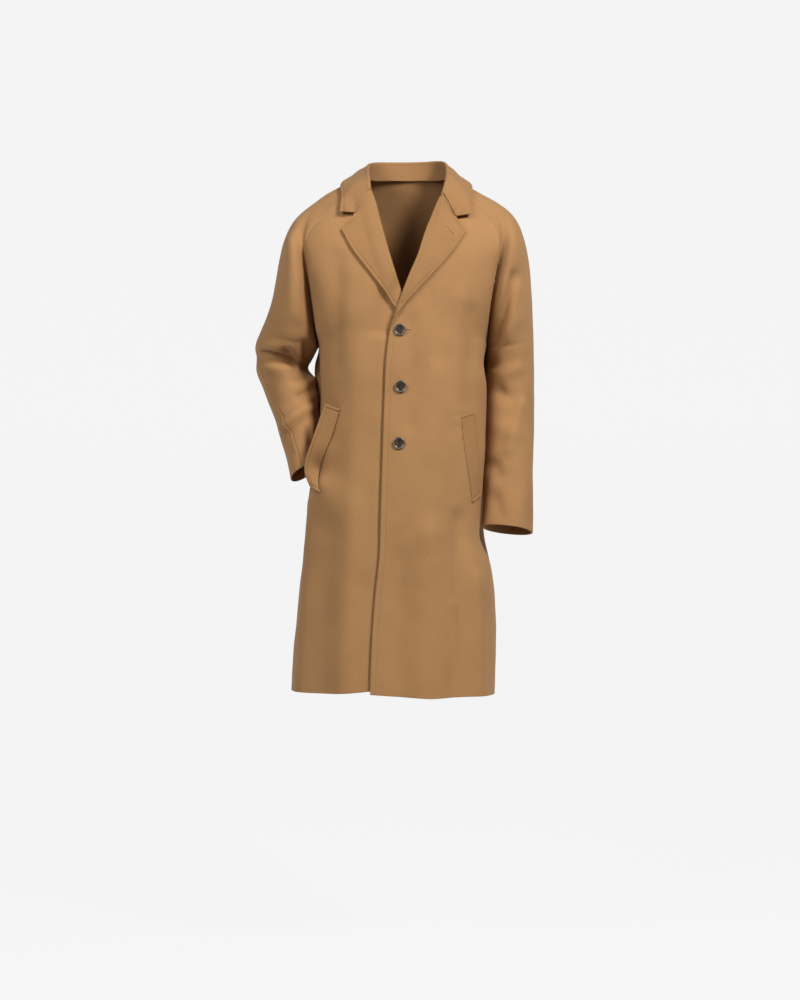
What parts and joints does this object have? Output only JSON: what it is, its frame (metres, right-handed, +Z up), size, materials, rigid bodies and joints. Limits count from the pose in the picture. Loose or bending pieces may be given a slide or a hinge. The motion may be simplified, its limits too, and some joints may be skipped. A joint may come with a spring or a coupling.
{
  "type": "wool overcoat",
  "caption": "Knee-length single-breasted wool overcoat in a worn pose: notch lapels, raglan sleeves, slanted welt pockets, horn buttons. Hollow, open at neck, hem and cuffs.",
  "frame": {"origin": "middle of the neck opening at shoulder level, where the wearer's shoulders hold the coat", "axes": "+Z up, the front of the coat towards -Y, the wearer's left towards +X"},
  "size_m": [0.5833, 0.3522, 1.1202],
  "materials": {
    "coating_wool": "matt brushed wool, camel",
    "coating_wool_trim": "matt brushed wool, camel, pressed",
    "horn": "dark brown horn, satin"
  },
  "bodies": {
    "root": {"front_left": "coating_wool", "front_right": "coating_wool", "back": "coating_wool", "sleeve_front_left": "coating_wool", "sleeve_front_right": "coating_wool", "sleeve_back_left": "coating_wool", "sleeve_back_right": "coating_wool", "lapel_left": "coating_wool_trim", "lapel_right": "coating_wool_trim", "collar_fall": "coating_wool_trim", "collar_stand": "coating_wool_trim", "welt_left": "coating_wool_trim", "welt_right": "coating_wool_trim", "button_1": "horn", "button_2": "horn", "button_3": "horn"}
  },
  "joints": []
}
